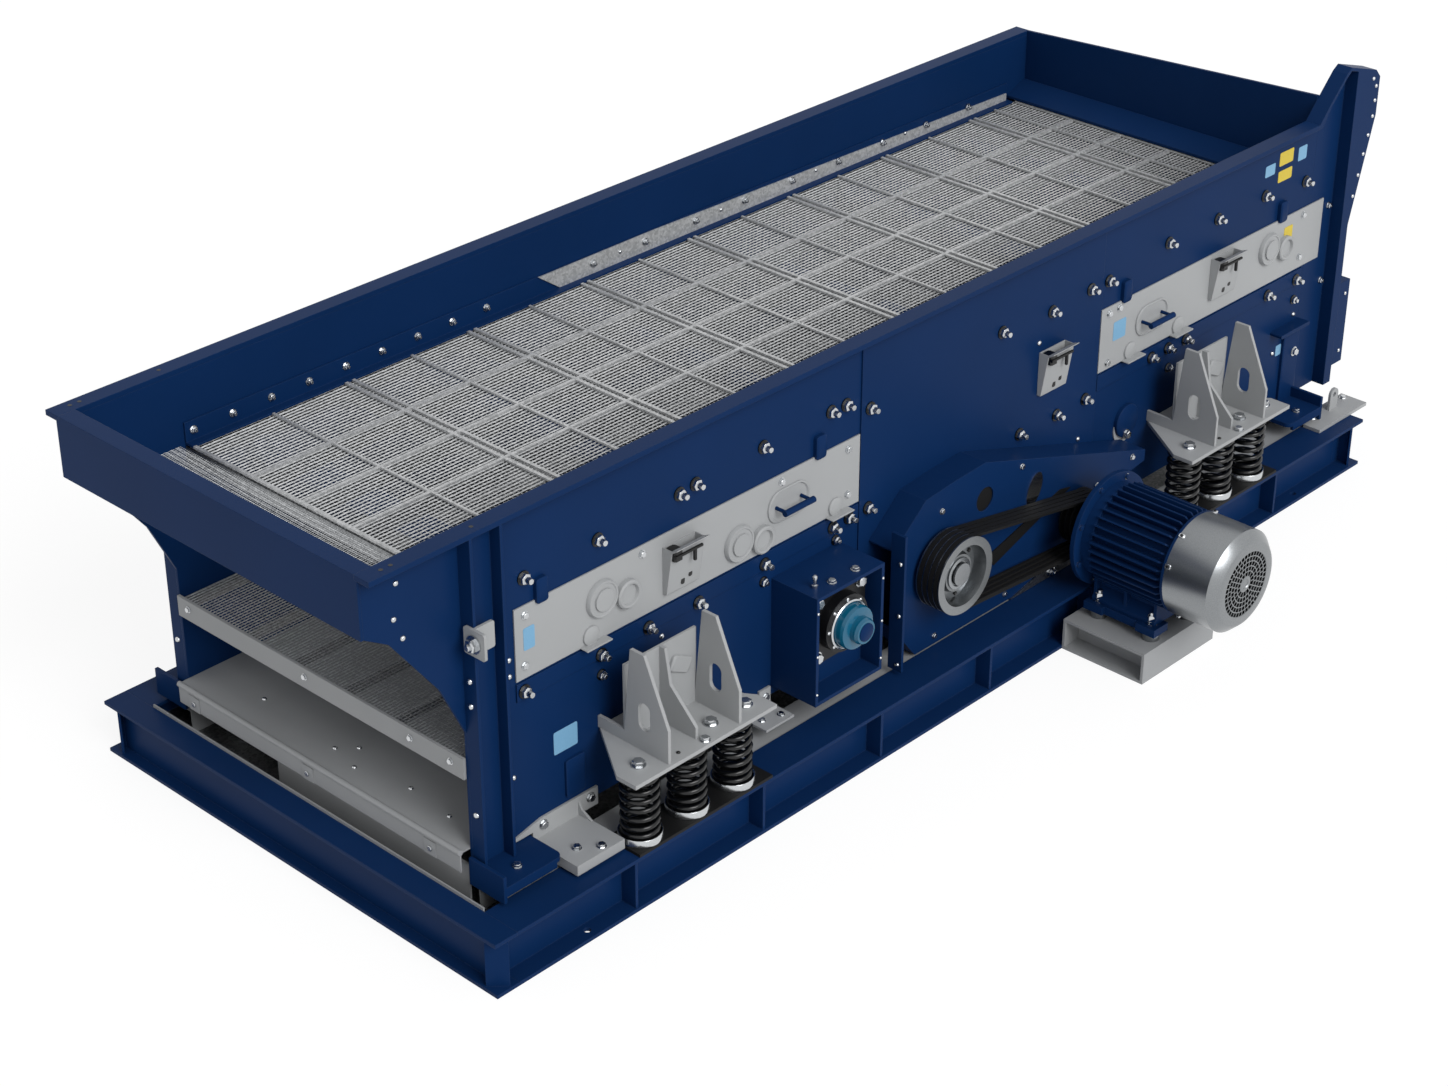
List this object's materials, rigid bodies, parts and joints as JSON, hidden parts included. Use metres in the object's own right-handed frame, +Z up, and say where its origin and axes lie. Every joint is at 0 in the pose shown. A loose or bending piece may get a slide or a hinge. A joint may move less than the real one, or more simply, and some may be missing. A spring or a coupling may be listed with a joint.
{
  "type": "vibrating screen for sizing stone",
  "caption": "Horizontal vibrating screen: a two-deck steel box on coil springs over a welded base frame, shaken by belt-driven shafts.",
  "frame": {"origin": "centre of the base frame's footprint, on the ground", "axes": "+X along the box to the feed end, +Z up, -Y out of the drive side with the motor"},
  "size_m": [5.673, 2.849, 1.79],
  "materials": {
    "navy": "semi-gloss navy blue paint on steel plate",
    "grey_paint": "light grey paint on steel",
    "galvanised": "galvanised steel wire and bar",
    "black_steel": "black paint on spring steel",
    "rubber": "black rubber",
    "machined": "turned metal, bare",
    "cap_teal": "glossy teal plastic",
    "black_iron": "black painted cast iron",
    "shaft": "ground steel"
  },
  "bodies": {
    "screen": {"base_beam_drive_side": "navy", "base_beam_far_side": "navy", "base_end_beams": "navy", "base_cross_members": "navy", "base_floor": "galvanised", "chute_skirts": "grey_paint", "side_plate_drive": "navy", "side_plate_far": "navy", "rim_drive_side": "navy", "rim_far_side": "navy", "discharge_header": "navy", "discharge_posts": "navy", "discharge_feet": "navy", "feed_feet": "navy", "feed_end_plate": "navy", "feed_ledge": "navy", "feed_ear": "navy", "feed_box": "navy", "side_lap_plates": "navy", "cover_strips": "grey_paint", "cover_fittings": "grey_paint", "cover_handles": "navy", "hold_down_bars": "galvanised", "deck_edge_strips": "galvanised", "base_brackets": "grey_paint", "top_deck_frame": "galvanised", "top_deck_cloth": "galvanised", "discharge_cloth": "galvanised", "top_clamp_rails": "navy", "second_deck_frame": "galvanised", "second_deck_cloth": "galvanised", "second_deck_lip": "grey_paint", "top_deck_tubes": "navy", "fines_pan": "grey_paint", "spring_pads": "rubber", "springs_drive_discharge": "black_steel", "springs_drive_feed": "black_steel", "springs_far_discharge": "black_steel", "springs_far_feed": "black_steel", "spring_bracket_drive_discharge": "grey_paint", "spring_bracket_drive_feed": "grey_paint", "spring_bracket_far_discharge": "grey_paint", "spring_bracket_far_feed": "grey_paint", "bearing_box": "navy", "bearing_flange": "black_iron", "bearing_cap": "cap_teal", "exciter_tubes": "navy", "belt_guard": "navy", "drive_belts": "rubber", "motor_flange": "navy", "motor_body": "navy", "motor_feet": "navy", "motor_spacers": "machined", "motor_base": "grey_paint", "motor_fan_cowl": "machined"},
    "exciter_rotor": {"driven_pulley": "machined", "exciter_shaft": "shaft"},
    "motor_rotor_body": {"motor_pulley": "black_iron", "motor_rotor": "shaft"}
  },
  "joints": [
    {"name": "exciter_spin", "type": "hinge", "parent": "screen", "child": "exciter_rotor", "pos_m": [-0.15, -0.95, 0.57], "axis": [0, -1, 0], "continuous": true},
    {"name": "motor_spin", "type": "hinge", "parent": "screen", "child": "motor_rotor_body", "pos_m": [0.68, -1.2, 0.46], "axis": [0, -1, 0], "continuous": true}
  ],
  "couplings": [
    {"joint": "motor_spin", "follows": "exciter_spin", "ratio": 1.4062}
  ]
}
